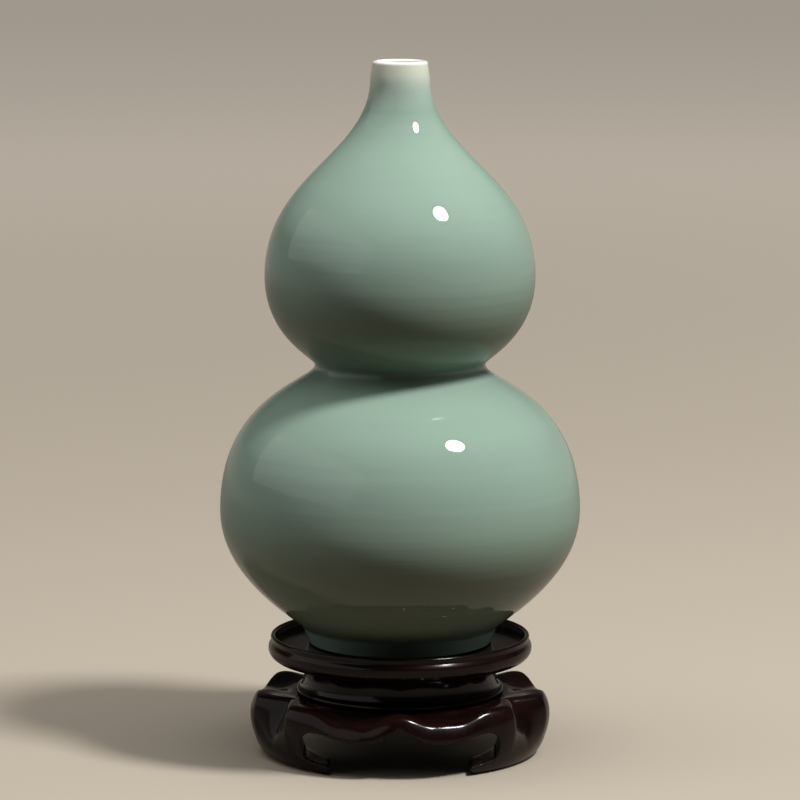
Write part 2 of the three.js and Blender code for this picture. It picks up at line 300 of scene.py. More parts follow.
def vase_outer_line(v, steps):
    """Outer line from the top of the foot to the start of the lip."""
    line = [(v.foot_top_radius, v.foot_height)]
    for rise, drop, end in (
        (v.foot_flare_up, v.lower_full_below, (v.lower_radius, v.lower_height)),
        (v.lower_full_above, v.waist_pinch_below, (v.waist_radius, v.waist_height)),
        (v.waist_pinch_above, v.upper_full_below, (v.upper_radius, v.upper_height)),
        (v.upper_full_above, v.neck_sweep, (v.neck_radius, v.neck_height)),
    ):
        extend(line, (0, rise), (0, -drop), end, steps)
    taper = v.mouth_radius - v.neck_radius
    rise = v.height - v.neck_wall / 2 - v.neck_height
    return line + [(v.neck_radius + taper * t, v.neck_height + rise * t) for t in (0.25, 0.5, 0.75, 1.0)]


def vase_inner_line(v, steps):
    """The outer line moved in by the wall, which thins towards the neck."""
    outer = vase_outer_line(v, steps)
    inner = []
    for i, here in enumerate(outer):
        before = outer[max(i - 1, 0)]
        after = outer[min(i + 1, len(outer) - 1)]
        along = Vector((after[0] - before[0], after[1] - before[1])).normalized()
        thinning = smoothstep(here[1], v.upper_height, v.neck_height)
        wall = v.bulb_wall + (v.neck_wall - v.bulb_wall) * thinning
        inner.append((here[0] - along.y * wall, here[1] + along.x * wall))
    return inner


def vase_profile(v):
    """Closed profile from the middle of the foot's hollow, over the lip, to the middle of the floor."""
    floor_top = v.foot_recess + v.floor
    lip_radius = v.neck_wall / 2
    lip_centre = (v.mouth_radius - lip_radius, v.height - lip_radius)
    inside = [p for p in vase_inner_line(v, steps=30)[:-1] if p[1] > floor_top + v.bulb_wall / 2]
    inside.reverse()
    lowest = inside[-1]
    ring_inner = v.foot_bottom_radius - v.foot_ring_width
    hollow_flat, hollow_rounding, ring_rounding, floor_rounding = 6 * MM, 1.2 * MM, 0.9 * MM, 3 * MM
    foot = eased(
        [
            (0, v.foot_recess, 0),
            (ring_inner - hollow_flat, v.foot_recess, 0),
            (ring_inner, v.foot_recess, hollow_rounding),
            (ring_inner, 0, ring_rounding),
            (v.foot_bottom_radius, 0, ring_rounding),
            (v.foot_top_radius, v.foot_height, 0),
        ]
    )
    floor = eased([(*lowest, 0), (lowest[0] - v.bulb_wall, floor_top, floor_rounding), (0, floor_top, 0)])
    rim = arc(lip_centre, lip_radius, 0, 180, steps=12)
    return foot[:-1] + vase_outer_line(v, steps=34) + rim[1:] + inside + floor[1:]


def tray_levels(s):
    """Heights of the stand's pieces above its deck."""
    waist_bottom = s.deck_height + s.seat_gap
    waist_top = waist_bottom + s.waist_block_height
    tray_bottom = waist_top + s.seat_gap
    tray_top = tray_bottom + s.tray_height
    ledge_top = tray_bottom + s.ledge_thickness
    panel_bottom = ledge_top + s.seat_gap
    panel_top = panel_bottom + s.panel_thickness
    return waist_bottom, waist_top, tray_bottom, tray_top, ledge_top, panel_bottom, panel_top


def tray_recess(s):
    """Radius of the hollow inside the ring's lip."""
    return s.tray_radius - s.lip_setback - s.lip_width


def tray_ring_profile(s):
    """Rolled ring with a fine groove under its lip and a ledge for the panel."""
    _, _, bottom, top, ledge_top, _, _ = tray_levels(s)
    recess = tray_recess(s)
    under = (s.tray_radius - s.roll_undercut, bottom)
    widest = (s.tray_radius, bottom + s.roll_height)
    groove = (s.tray_radius - s.lip_setback - s.lip_groove, top - s.lip_height)
    climb, under_flat, ledge_easing = 0.47, 3 * MM, 0.2 * MM
    knee = (widest[0], (1 - climb) * widest[1] + climb * groove[1])
    lip = (recess + s.lip_width / 2, top - s.lip_width / 2)
    line = [(s.ledge_radius, bottom), (under[0] - under_flat, bottom), under]
    line += quarter(under, widest, steps=18)
    line += bezier(widest, knee, knee, groove, steps=14)
    line += arc(lip, s.lip_width / 2, 0, 180, steps=14)
    corners = [(x, y, 0) for x, y in line]
    corners += [(recess, ledge_top, ledge_easing), (s.ledge_radius, ledge_top, ledge_easing)]
    return eased(corners + [(s.ledge_radius, bottom, 0)], steps=4)


def tray_panel_profile(s):
    """Disc that lies on the ledge and carries the vase."""
    *_, bottom, top = tray_levels(s)
    radius = tray_recess(s) - s.panel_clearance
    near_edge = radius * 0.98
    under_easing, top_easing = 0.3 * MM, 0.4 * MM
    line = [(0, bottom, 0), (near_edge, bottom, 0), (radius, bottom, under_easing)]
    line += [(radius, top, top_easing), (near_edge, top, 0), (0, top, 0)]
    return eased(line)


def waist_block_profile(s):
    """Turned block with a cove, a bead at its foot and a spigot on top."""
    bottom, top, _, _, ledge_top, _, _ = tray_levels(s)
    cove = (s.cove_radius, bottom + s.cove_height)
    bead = (s.bead_reach - s.bead_radius, bottom + s.bead_radius)
    spigot = s.ledge_radius - s.spigot_clearance
    under_flat = 2 * MM
    line = [(0, bottom), (bead[0] - under_flat, bottom)]
    line += arc(bead, s.bead_radius, -90, 90, steps=16)
    line += quarter((bead[0], bottom + 2 * s.bead_radius), cove, steps=12)
    line += quarter(cove, (s.waist_top_radius, top), steps=16, upright_first=True)
    return line + [(spigot, top), (spigot, ledge_top), (0, ledge_top)]


# Node trees


class Wire:
    """An output in a node tree, which can be reckoned with like a number."""

    def __init__(self, tree, socket):
        self.tree = tree
        self.socket = socket

    def reckon(self, operation, other=None):
        """Puts this wire, and a second one or a number, through a Math node."""
        inputs = {0: self} if other is None else {0: self, 1: other}
        return wire(self.tree, "ShaderNodeMath", inputs, operation=operation)

    def __add__(self, other):
        return self.reckon("ADD", other)

    def __sub__(self, other):
        return self.reckon("SUBTRACT", other)

    def __rsub__(self, number):
        return wire(self.tree, "ShaderNodeMath", {0: number, 1: self}, operation="SUBTRACT")

    def __mul__(self, other):
        return self.reckon("MULTIPLY", other)

    def __truediv__(self, other):
        return self.reckon("DIVIDE", other)

    def __abs__(self):
        return self.reckon("ABSOLUTE")


def plug(node, values):
    """Links wires into a node's inputs, or sets the inputs to plain values."""
    for label, value in values.items():
        if isinstance(value, Wire):
            value.tree.links.new(value.socket, node.inputs[label])
        else:
            node.inputs[label].default_value = value


def new_node(tree, kind, inputs, **settings):
    """A node with its settings and with its inputs plugged, by name or by number."""
    node = tree.nodes.new(kind)
    for label, setting in settings.items():
        setattr(node, label, setting)
    plug(node, inputs)
    return node


def wire(tree, kind, inputs, output=0, **settings):
    """One output of a new node."""
    return Wire(tree, new_node(tree, kind, inputs, **settings).outputs[output])


def split(vector):
    """The three coordinates of a vector."""
    node = new_node(vector.tree, "ShaderNodeSeparateXYZ", {0: vector})
    return [Wire(vector.tree, socket) for socket in node.outputs]


def new_tree(name, kind, inputs, outputs):
    """An empty node tree, its inputs by name and its output node."""
    tree = bpy.data.node_groups.new(name, kind)
    for label, socket_kind, *value in inputs:
        socket = tree.interface.new_socket(label, in_out="INPUT", socket_type="NodeSocket" + socket_kind)
        if value:
            socket.default_value = value[0]
    for label, socket_kind in outputs:
        tree.interface.new_socket(label, in_out="OUTPUT", socket_type="NodeSocket" + socket_kind)
    start = tree.nodes.new("NodeGroupInput")
    return tree, lambda label: Wire(tree, start.outputs[label]), tree.nodes.new("NodeGroupOutput")


def tree_called(name, make):
    return bpy.data.node_groups.get(name) or make()


def geometry_tree(name, inputs):
    return new_tree(name, "GeometryNodeTree", inputs, [("Geometry", "Geometry")])


def turning_tree():
    """Turns a profile, given as a row of points, about the vertical axis."""
    inputs = [("Profile", "Geometry"), ("Facets", "Int"), ("Ripple", "Float")]
    inputs += [("Ripple Pitch", "Float"), ("Finish", "Material")]
    tree, given, end = geometry_tree("Turned Piece", inputs)
    rows = wire(tree, "GeometryNodeAttributeDomainSize", {0: given("Profile")}, "Point Count")
    grid = wire(tree, "GeometryNodeMeshGrid", {"Vertices X": given("Facets") + 1, "Vertices Y": rows}, "Mesh")
    index = wire(tree, "GeometryNodeInputIndex", {})
    spot = {
        "Geometry": given("Profile"),
        "Value": wire(tree, "GeometryNodeInputPosition", {}),
        "Index": index.reckon("MODULO", rows),
    }
    sample = wire(tree, "GeometryNodeSampleIndex", spot, data_type="FLOAT_VECTOR", domain="POINT")
    across, _, level = split(sample)
    along = {"W": level / given("Ripple Pitch"), "Detail": 2.0}
    marks = wire(tree, "ShaderNodeTexNoise", along, noise_dimensions="1D")
    off_axis = across.reckon("GREATER_THAN", MM)
    radius = across + (marks - 0.5) * given("Ripple") * off_axis
    angle = (index / rows).reckon("FLOOR") / given("Facets") * FULL_TURN
    turned = {0: radius * angle.reckon("COSINE"), 1: radius * angle.reckon("SINE"), 2: level}
    place = wire(tree, "ShaderNodeCombineXYZ", turned)
    moved = wire(tree, "GeometryNodeSetPosition", {"Geometry": grid, "Position": place})
    closed = wire(tree, "GeometryNodeMergeByDistance", {"Geometry": moved, "Distance": 0.003 * MM})
    finish_tree(closed, given, end)
    return tree


def copies_tree():
    """Sets copies of a piece round the vertical axis."""
    inputs = [("Piece", "Geometry"), ("Copies", "Int"), ("Finish", "Material")]
    tree, given, end = geometry_tree("Copies Round Axis", inputs)
    points = wire(tree, "GeometryNodePoints", {"Count": given("Copies")})
    turn = wire(tree, "GeometryNodeInputIndex", {}) / given("Copies") * FULL_TURN
    angles = wire(tree, "ShaderNodeCombineXYZ", {2: turn})
    rotation = wire(tree, "FunctionNodeEulerToRotation", {0: angles})
    placed = {"Points": points, "Instance": given("Piece"), "Rotation": rotation}
    finish_tree(wire(tree, "GeometryNodeInstanceOnPoints", placed), given, end)
    return tree


def finish_tree(geometry, given, end):
    """Realizes what the tree made, shades it smooth and gives it its finish."""
    tree = geometry.tree
    for kind in ("GeometryNodeRealizeInstances", "GeometryNodeSetShadeSmooth"):
        geometry = wire(tree, kind, {"Geometry": geometry})
    painted = wire(tree, "GeometryNodeSetMaterial", {"Geometry": geometry, "Material": given("Finish")})
    plug(end, {"Geometry": painted})


# Making and finishing meshes


def new_object(name, data):
    piece = bpy.data.objects.new(name, data)
    bpy.context.scene.collection.objects.link(piece)
    return piece


def add_tree(piece, tree, values):
    """Puts a geometry tree on a piece with its inputs set by their identifiers."""
    modifier = piece.modifiers.new(tree.name, "NODES")
    modifier.node_group = tree
    for item in tree.interface.items_tree:
        if item.in_out == "INPUT" and item.name in values:
            modifier[item.identifier] = values[item.name]


def settle(piece):
    """Turns a piece's modifiers into a plain mesh."""
    depsgraph = bpy.context.evaluated_depsgraph_get()
    mesh = bpy.data.meshes.new_from_object(piece.evaluated_get(depsgraph), depsgraph=depsgraph)
    old = piece.data
    piece.modifiers.clear()
    piece.data = mesh
    bpy.data.meshes.remove(old)
    mesh.name = piece.name
    return piece


def face_outwards(mesh):
    work = bmesh.new()
    work.from_mesh(mesh)
    bmesh.ops.recalc_face_normals(work, faces=work.faces)
    work.to_mesh(mesh)
    work.free()


def closed_piece(name, rings):
    """A closed piece with faces from each ring of points to the next and a cap at each end."""
    work = bmesh.new()
    rings = [[work.verts.new(spot) for spot in ring] for ring in rings]
    count = len(rings[0])
    for here, there in zip(rings, rings[1:]):
        for k in range(count):
            work.faces.new((here[k], here[(k + 1) % count], there[(k + 1) % count], there[k]))
    work.faces.new(rings[0])
    work.faces.new(rings[-1])
    bmesh.ops.triangulate(work, faces=work.faces[:])
    bmesh.ops.recalc_face_normals(work, faces=work.faces)
    mesh = bpy.data.meshes.new(name)
    work.to_mesh(mesh)
    work.free()
    return new_object(name, mesh)


def point_rows(mesh, label):
    """Three numbers for each point of a mesh."""
    values = np.empty(len(mesh.vertices) * 3)
    mesh.vertices.foreach_get(label, values)
    return values.reshape(-1, 3)


def mark_edges(mesh, passes, reach):
    """Stores how far each point stands out from its neighbours, for wear along the edges."""
    spots = point_rows(mesh, "co")
    normals = point_rows(mesh, "normal")
    pairs = np.empty(len(mesh.edges) * 2, dtype=np.int64)
    mesh.edges.foreach_get("vertices", pairs)
    first, second = pairs.reshape(-1, 2).T
    step = spots[second] - spots[first]
    least_span = 1e-14
    span = np.maximum((step * step).sum(1), least_span)

    def gathered(at_first, at_second):
        return np.bincount(first, at_first, len(spots)) + np.bincount(second, at_second, len(spots))

    shares = np.maximum(gathered(None, None), 1)
    bend = gathered(-(step * normals[first]).sum(1) / span, (step * normals[second]).sum(1) / span) / shares
    for _ in range(passes):
        bend = 0.5 * bend + 0.5 * gathered(bend[second], bend[first]) / shares
    edge = np.clip(bend * reach, 0.0, 1.0)
    attribute = mesh.attributes.new("edge", "FLOAT", "POINT")
    attribute.data.foreach_set("value", edge.astype(np.float32))


def turned_piece(name, profile, level, facets, finish, ripple=0.0, pitch=MM):
    """A piece turned from its profile, standing on a level."""
    mesh = bpy.data.meshes.new(name)
    mesh.from_pydata([(x, 0, y + level) for x, y in profile], [], [])
    piece = new_object(name, mesh)
    values = {"Facets": facets, "Ripple": ripple, "Ripple Pitch": pitch, "Finish": finish}
    add_tree(piece, tree_called("Turned Piece", turning_tree), values)
    settle(piece)
    face_outwards(piece.data)
    return piece


def install(piece, body, slot, *nodes):
    """Sets a finished piece on its body in place of its solids."""
    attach(piece, body)
    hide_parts(*nodes)


# Carving of the base


def drum_section(s):
    """Section of the base before carving: its bulging face, its deck and the hollow under it."""
    edge = (s.drum_edge_radius, s.deck_height + s.deck_edge_rise)
    waist = (s.waist_top_radius, s.deck_height)
    hole = s.deck_inner_radius
    underside = s.deck_height - s.deck_thickness
    line = [(s.drum_inner_radius, 0), (s.drum_foot_radius, 0)]
    extend(line, (s.drum_flare_out, s.drum_flare_up), (s.drum_shoulder_out, -s.drum_shoulder_down), edge, steps=26)
    extend(line, (-s.deck_crest_in, s.deck_crest_up), (s.deck_sweep, 0), waist, steps=14)
    return line + [(hole, s.deck_height), (hole, underside), (s.drum_inner_radius, underside)]


def carve(s, radius, height, turn):
    """Carving: lobes droop beside each opening's nose, and each leg has a shoulder with a crease."""
    period = FULL_TURN / s.legs
    from_opening = abs((turn + period / 2) % period - period / 2)
    from_leg = period / 2 - from_opening
    outward = smoothstep(radius, s.waist_top_radius, s.drum_foot_radius)
    raised = min(height / s.deck_height, 1.0)
    lobe = smoothstep(from_opening, 0.0, s.lobe_start)
    lobe *= 1 - smoothstep(from_opening, s.lobe_end, s.lobe_fade)
    shoulder = 1 - smoothstep(from_leg, s.leg_shoulder, s.leg_shoulder_fade)
    crease = max(1 - from_leg / s.leg_groove, 0.0)
    upper = smoothstep(height, s.leg_groove_foot, s.leg_groove_top) * outward
    return (
        radius + upper * (s.leg_shoulder_out * shoulder - s.leg_groove_depth * crease),
        height - s.lobe_droop * lobe * outward * raised,
    )


def carved_sector(s, start, end, step):
    """A closed piece of the carved base between two bearings from the front."""
    section = drum_section(s)
    inner = len(section) - 3
    rows = max(int(round((end - start) / step)), 2)
    rings = []
    for i in range(rows + 1):
        turn = start + (end - start) * i / rows
        ring = []
        for k, (x, y) in enumerate(section):
            if 0 < k < inner:
                x, y = carve(s, x, y, turn)
            ring.append((x * math.sin(turn), -x * math.cos(turn), y))
        rings.append(ring)
    return closed_piece("carved_sector", rings)


def opening_half(s, steps):
    """Right half of an opening's outline, from the nose over lobe and arch to the toe."""
    toe = (s.toe_reach, s.toe_height)
    tip = (toe[0] - s.toe_curl, toe[1] / 2)
    line = [(0, s.nose_height)]
    for curve in (
        ((s.nose_fall_out, -s.nose_fall_down), (-s.lobe_roundness, 0), (s.lobe_reach, s.lobe_height), steps),
        ((s.lobe_roundness, 0), (-s.arch_roundness, 0), (s.arch_reach, s.arch_height), steps),
        ((s.arch_shoulder, 0), (0, s.arch_shoulder), (s.opening_reach, s.opening_reach_height), steps // 2),
        ((0, -s.heel_roundness), (s.toe_length, s.toe_rise), toe, steps),
    ):
        extend(line, *curve)
    line += bezier(toe, (tip[0], toe[1] * 0.9), (tip[0], toe[1] * 0.6), tip, steps=5)
    return line + [(toe[0], 0), (toe[0], -toe[1])]


def opening_cutter(s, turn):
    """Prism that cuts one opening, on a bearing from the front."""
    half = opening_half(s, steps=22)
    outline = half + [(-x, y) for x, y in reversed(half[1:])]
    near = s.drum_inner_radius / 2
    far = s.drum_foot_radius + s.drum_flare_out + s.drum_shoulder_out + s.leg_shoulder_out
    cutter = closed_piece("opening_cutter", [[(x, -depth, y) for x, y in outline] for depth in (far, near)])
    cutter.data.transform(Matrix.Rotation(turn, 4, "Z"))
    return cutter


def carved_stretch(s):
    """One apron and one leg with a margin on both sides, its edges eased."""
    period = FULL_TURN / s.legs
    margin, step = math.radians(9), math.radians(0.6)
    piece = carved_sector(s, -s.seam - margin, period - s.seam + margin, step)
    cutters = [opening_cutter(s, turn) for turn in (0.0, period)]
    for cutter in cutters:
        cut = piece.modifiers.new("opening", "BOOLEAN")
        cut.operation = "DIFFERENCE"
        cut.solver = "EXACT"
        cut.object = cutter
    settle(piece)
    for cutter in cutters:
        bpy.data.meshes.remove(cutter.data)
    if len(piece.data.polygons) == 0:
        raise RuntimeError("cutting the openings left nothing of the base")
    grain = piece.modifiers.new("grain", "REMESH")
    grain.mode = "VOXEL"
    grain.voxel_size = s.grain_size
    ease = piece.modifiers.new("ease", "SMOOTH")
    ease.factor = 0.5
    ease.iterations = s.softness
    return settle(piece)


def sector_of(stretch, name, start, end):
    """The part of a carved stretch between two bearings, closed with flat faces at its joints."""
    mesh = stretch.data.copy()
    mesh.name = name
    work = bmesh.new()
    work.from_mesh(mesh)
    for turn, side in ((start, -1), (end, 1)):
        normal = Vector((math.cos(turn), math.sin(turn), 0)) * side
        geometry = work.verts[:] + work.edges[:] + work.faces[:]
        cut = bmesh.ops.bisect_plane(work, geom=geometry, plane_co=(0, 0, 0), plane_no=normal, clear_outer=True)
        rim = [e for e in cut["geom_cut"] if isinstance(e, bmesh.types.BMEdge)]
        cap = bmesh.ops.holes_fill(work, edges=rim)["faces"]
        for edge in rim:
            edge.smooth = False
        bmesh.ops.triangulate(work, faces=cap)
    work.to_mesh(mesh)
    work.free()
    return new_object(name, mesh)


def ring_of(piece, copies, finish):
    """Copies a leg or an apron round the axis into one mesh."""
    add_tree(piece, tree_called("Copies Round Axis", copies_tree), {"Copies": copies, "Finish": finish})
    settle(piece)
    mark_edges(piece.data, passes=4, reach=0.9 * MM)


# Shader groups and materials


def noise(vector, scale, detail, roughness=0.5):
    inputs = {"Vector": vector, "Scale": scale, "Detail": detail, "Roughness": roughness}
    return wire(vector.tree, "ShaderNodeTexNoise", inputs)


def ranged(value, low, high, to_low=0.0, to_high=1.0):
    """Maps a value smoothly from one range to another."""
    inputs = {"Value": value, "From Min": low, "From Max": high, "To Min": to_low, "To Max": to_high}
    return wire(value.tree, "ShaderNodeMapRange", inputs, "Result", interpolation_type="SMOOTHSTEP")


def stretched(vector, scale):
    """A vector stretched by a different amount along each axis."""
    return wire(vector.tree, "ShaderNodeMapping", {"Vector": vector, "Scale": scale})


def mixed(factor, first, second):
    """A mix of two colours, each a colour or a wire."""
    node = new_node(factor.tree, "ShaderNodeMix", {}, data_type="RGBA")
    shown = [k for k, socket in enumerate(node.inputs) if socket.enabled]
    colours = [value if isinstance(value, Wire) else (*value, 1.0) for value in (first, second)]
    plug(node, dict(zip(shown, (factor, *colours))))
    return Wire(factor.tree, next(socket for socket in node.outputs if socket.enabled))


def bumped(height, distance, strength=1.0):
    """The normal of a surface that has this relief."""
    return wire(height.tree, "ShaderNodeBump", {"Height": height, "Distance": distance, "Strength": strength})


def mottle_group():
    """Slow cloudy change over a surface, for glaze and lacquer."""
    inputs = [("Vector", "Vector"), ("Scale", "Float", 20.0), ("Low", "Float", 0.0), ("High", "Float", 1.0)]
    tree, given, end = new_tree("Slow Mottle", "ShaderNodeTree", inputs, [("Value", "Float")])
    cloud = noise(given("Vector"), given("Scale"), detail=3.0)
    plug(end, {"Value": ranged(cloud, 0.3, 0.7, given("Low"), given("High"))})
    return tree


def wear_group():
    """Where edges that are handled show through, broken up by a fine noise."""
    inputs = [("Vector", "Vector"), ("Edge", "Float", 0.0), ("Amount", "Float", 0.5)]
    tree, given, end = new_tree("Edge Wear", "ShaderNodeTree", inputs, [("Wear", "Float")])
    patches = ranged(noise(given("Vector"), scale=160.0, detail=4.0), 0.35, 0.7)
    plug(end, {"Wear": patches * ranged(given("Edge"), 0.25, 0.9) * given("Amount")})
    return tree


def grain_group():
    """Hardwood figure and open pores running along the vector's X axis."""
    inputs = [("Vector", "Vector"), ("Figure", "Float", 1.0)]
    outputs = [("Grain", "Float"), ("Pores", "Float")]
    tree, given, end = new_tree("Hardwood Grain", "ShaderNodeTree", inputs, outputs)
    vector = given("Vector")
    figure = noise(stretched(vector, (14.0, 130.0, 130.0)), scale=1.0, detail=5.0, roughness=0.6)
    fibre = noise(stretched(vector, (60.0, 1500.0, 1500.0)), scale=1.0, detail=2.0)
    pores = noise(stretched(vector, (110.0, 2400.0, 2400.0)), scale=1.0, detail=1.0)
    bands = ranged(figure, 0.36, 0.66) * given("Figure")
    plug(end, {"Grain": bands * 0.75 + fibre * 0.25, "Pores": ranged(pores, 0.62, 0.72)})
    return tree


def grouped(name, make, values):
    """The outputs, by name, of a shader group placed in a material with its own values."""
    tree = values["Vector"].tree
    node = new_node(tree, "ShaderNodeGroup", values, node_tree=tree_called(name, make))
    return {socket.name: Wire(tree, socket) for socket in node.outputs}


def mottled(vector, scale, low, high):
    """A value that drifts slowly between two over a surface."""
    values = {"Vector": vector, "Scale": scale, "Low": low, "High": high}
    return grouped("Slow Mottle", mottle_group, values)["Value"]


def new_material(name):
    """A material with its shader and its object coordinates."""
    material = bpy.data.materials.new(name)
    material.use_nodes = True
    tree = material.node_tree
    spot = wire(tree, "ShaderNodeTexCoord", {}, "Object")
    return material, tree.nodes["Principled BSDF"], spot


def celadon_material(finish, v, foot_level):
    """Grey-green glaze: it thins to cream over the lip, pools in the waist and leaves the foot ring bare."""
    material, shader, spot = new_material("celadon_glaze")
    height = split(spot)[2] - foot_level
    above_waist = height - v.waist_height

    # Painted shade: a darker, warmer glaze colour over the lower half of each bulb, where it turns away from the
    # lights
    lower_bulb_shade = 1 - ranged(height, 0.42 * v.lower_height, 1.3 * v.lower_height)
    lower_bulb_shade *= ranged(height, 0.2 * v.lower_height, 0.8 * v.lower_height)
    rise = v.upper_height - v.waist_height
    upper_bulb_shade = 1 - ranged(above_waist, 0.25 * rise, 1.3 * rise)
    upper_bulb_shade *= ranged(above_waist, 0, 0.3 * rise)
    painted_shade = lower_bulb_shade.reckon("MAXIMUM", upper_bulb_shade) * 0.8
    body = mixed(painted_shade, finish.glaze, finish.glaze_in_painted_shade)

    # Pooled in the waist and round the foot, with slow clouds and turned bands
    waist = 1 - ranged(abs(above_waist), 1 * MM, 12 * MM)
    foot = 1 - ranged(height, 0.8 * v.foot_height, 2.0 * v.foot_height)
    clouds = mottled(spot, scale=16.0, low=0.0, high=0.22)
    bands = mottled(stretched(spot, (2.0, 2.0, 90.0)), scale=1.0, low=0.0, high=0.16)
    pool = (waist * 0.18).reckon("MAXIMUM", foot * 0.45) + (clouds + bands)
    body = mixed(pool, body, finish.glaze_thick)

    # Lighter up the neck, thin near the lip and bare on it, along a ragged line
    lighter = ranged(height, v.neck_height - 14.5 * MM, v.neck_height + 1 * MM)
    body = mixed(lighter, body, finish.glaze_light)
    level = height + (noise(spot, scale=220.0, detail=3.0) - 0.5) * (1.2 * MM)
    body = mixed(ranged(level, v.height - 13 * MM, v.height - 1.2 * MM), body, finish.glaze_thin)
    body = mixed(ranged(level, v.height - 1.8 * MM, v.height - 0.5 * MM), body, finish.lip)

    # Faint specks, and bare clay under the foot ring
    specks = ranged(noise(spot, scale=900.0, detail=1.0), 0.76, 0.82)
    body = mixed(specks * 0.35, body, finish.bare_clay)
    bare = 1 - ranged(level, 0.2 * MM, 0.5 * MM)
    body = mixed(bare, body, finish.bare_clay)

    rings = noise(stretched(spot, (4.0, 4.0, 210.0)), scale=1.0, detail=2.0)
    peel = noise(spot, scale=420.0, detail=1.0)
    values = {
        "Base Color": body,
        "Roughness": mottled(spot, scale=60.0, low=0.16, high=0.24) + bare * 0.6,
        "Coat Weight": 1 - bare,
        "Coat Roughness": 0.02,
        "Coat IOR": 1.4,
        "Specular IOR Level": 0.0,
        "Normal": bumped(rings + peel * 0.12, distance=0.22 * MM, strength=0.5),
    }
    plug(shader, values)
    return material


def lacquer_material(name, tooling, wear):
    """Near-black lacquer over reddish hardwood, with tool marks, worn edges and a deep gloss."""
    finish = bpy.context.scene.vase_finishes
    material, shader, spot = new_material(name)
    figure = grouped("Hardwood Grain", grain_group, {"Vector": spot, "Figure": 1.0})
    tone = figure["Grain"] * mottled(spot, scale=38.0, low=0.15, high=0.85)
    body = mixed(tone, finish.lacquer_dark, finish.lacquer_red)
    edge = wire(spot.tree, "ShaderNodeAttribute", {}, "Fac", attribute_name="edge")
    worn = grouped("Edge Wear", wear_group, {"Vector": spot, "Edge": edge, "Amount": wear})["Wear"]
    marks = noise(spot, scale=62.0, detail=0.5) * tooling
    sheen = noise(spot, scale=120.0, detail=2.0) * 0.3
    values = {
        "Base Color": mixed(worn, body, finish.worn_edge),
        "Roughness": mottled(spot, scale=90.0, low=0.32, high=0.44) + worn * 0.2,
        "Coat Weight": 0.9 - worn * 0.5,
        "Coat Roughness": 0.14,
        "Coat IOR": 1.33,
        "Specular IOR Level": 0.03,
        "Normal": bumped(marks + (sheen - figure["Pores"] * 0.1), distance=0.3 * MM),
    }
    plug(shader, values)
    return material


def lacquer_called(name, tooling, wear):
    return bpy.data.materials.get(name) or lacquer_material(name, tooling, wear)


def turned_lacquer():
    return lacquer_called("turned_lacquer", tooling=0.2, wear=0.35)


def carved_lacquer():
    return lacquer_called("carved_lacquer", tooling=3.4, wear=0.6)


# Operators


class VASE_OT_turn_vase(Operator):
    """Turn the double-gourd vase and glaze it"""

    bl_idname = "gourd_vase.turn_vase"
    bl_label = "Turn Vase"

    def execute(self, context):
        v = context.scene.vase_sizes
        s = context.scene.stand_sizes
        foot_level = tray_levels(s)[-1] + s.seat_gap
        glaze = celadon_material(context.scene.vase_finishes, v, foot_level)
        vase = turned_piece("gourd_vase", vase_profile(v), foot_level, v.facets, glaze, v.ripple, v.ripple_pitch)
        install(vase, "vase", "celadon_glaze", "vase_body")
        return {"FINISHED"}


class VASE_OT_turn_tray(Operator):
    """Turn the tray ring and the panel inside it"""

    bl_idname = "gourd_vase.turn_tray"
    bl_label = "Turn Tray"

    def execute(self, context):
        s = context.scene.stand_sizes
        lacquer = turned_lacquer()
        ring = turned_piece("rolled_tray_ring", tray_ring_profile(s), 0, s.facets, lacquer)
        mark_edges(ring.data, passes=1, reach=0.4 * MM)
        install(ring, "stand", "lacquered_wood", "tray_ring")
        panel = turned_piece("tray_floor", tray_panel_profile(s), 0, s.facets, lacquer)
        mark_edges(panel.data, passes=1, reach=0.3 * MM)
        install(panel, "stand", "lacquered_wood", "tray_panel")
        return {"FINISHED"}


class VASE_OT_turn_waist(Operator):
    """Turn the waist block with its cove and bead"""

    bl_idname = "gourd_vase.turn_waist"
    bl_label = "Turn Waist"

    def execute(self, context):
        s = context.scene.stand_sizes
        waist = turned_piece("coved_waist", waist_block_profile(s), 0, s.facets, turned_lacquer())
        mark_edges(waist.data, passes=1, reach=0.4 * MM)
        install(waist, "stand", "lacquered_wood", "waist_block")
        return {"FINISHED"}


class VASE_OT_carve_base(Operator):
    """Carve the aprons and legs of the base"""

    bl_idname = "gourd_vase.carve_base"
    bl_label = "Carve Base"

    def execute(self, context):
        s = context.scene.stand_sizes
        period = FULL_TURN / s.legs
        stretch = carved_stretch(s)
        aprons = sector_of(stretch, "carved_aprons", -s.seam, s.seam)
        legs = sector_of(stretch, "carved_legs", s.seam, period - s.seam)
        bpy.data.meshes.remove(stretch.data)
        ring_of(aprons, s.legs, carved_lacquer())
        ring_of(legs, s.legs, carved_lacquer())
        install(aprons, "stand", "lacquered_wood", "apron_front", "apron_right", "apron_left")
        install(legs, "stand", "lacquered_wood", "leg_front_right", "leg_rear", "leg_front_left")
        return {"FINISHED"}


def area_light(name, place, size, power, shape="RECTANGLE", tint=(1, 1, 1)):
    """An area light that faces the middle of the object."""
    data = bpy.data.lights.new(name, "AREA")
    data.shape = shape
    data.size, data.size_y = size
    data.energy = power
    data.color = tint
    light = new_object(name, data)
    light.location = place
    aim = Vector((0, 0, 0.14))
    light.rotation_euler = (aim - Vector(place)).to_track_quat("-Z", "Y").to_euler()
    return light


